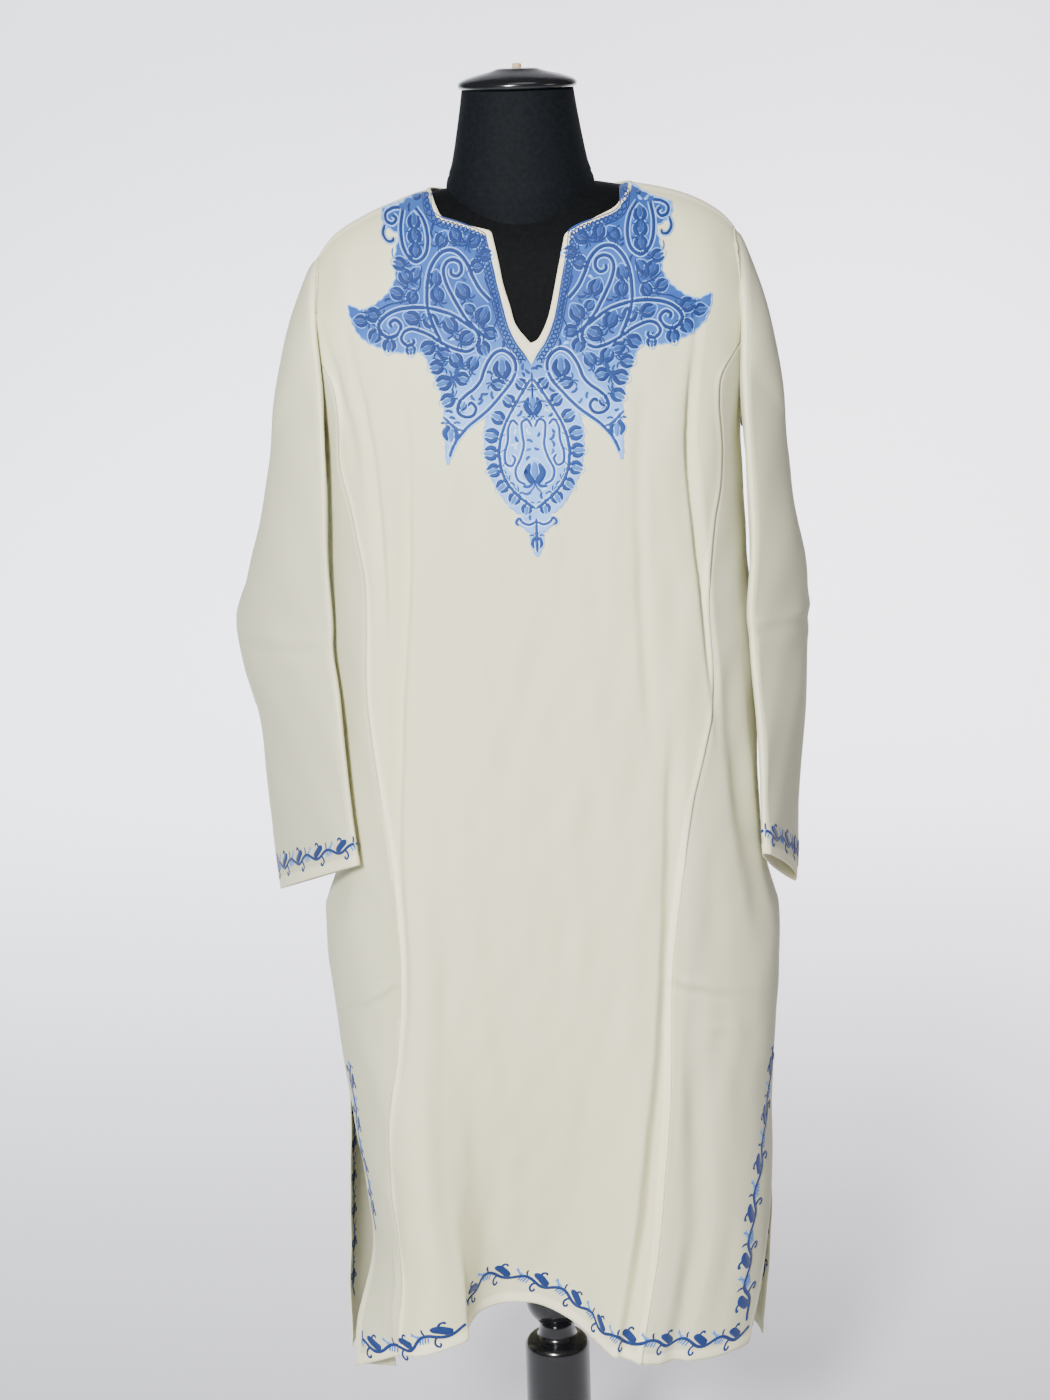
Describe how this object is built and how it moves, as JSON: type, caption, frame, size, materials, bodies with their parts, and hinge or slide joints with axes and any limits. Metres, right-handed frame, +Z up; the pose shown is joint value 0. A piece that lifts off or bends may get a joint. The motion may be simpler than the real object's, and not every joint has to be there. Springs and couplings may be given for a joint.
{
  "type": "pheran on a dress form",
  "caption": "Loose knee-length pheran with long sleeves, side gores, slit hem and embroidered split neck, worn on a limbless dress form with pole and round base.",
  "frame": {"origin": "centre of the bounding box's bottom face, on the floor", "axes": "+Z up through the dress form, -Y the front of the dress, +X to the right for someone facing it"},
  "size_m": [0.5634, 0.34, 1.5243],
  "materials": {
    "cloth": "matte woven cream cloth",
    "binding": "matte folded cloth strip",
    "form_cover": "dull black jersey",
    "cap_gloss": "polished black",
    "peg_wood": "bare pale wood",
    "post_gloss": "polished black lacquer",
    "base_gloss": "polished black lacquer"
  },
  "bodies": {
    "root": {"front_panel": "cloth", "back_panel": "cloth", "front_gore_left": "cloth", "back_gore_left": "cloth", "sleeve_left": "cloth", "front_gore_right": "cloth", "back_gore_right": "cloth", "sleeve_right": "cloth", "neck_binding": "binding", "form_torso": "form_cover", "neck_cap": "cap_gloss", "cap_peg": "peg_wood", "post": "post_gloss", "base": "base_gloss"}
  },
  "joints": []
}
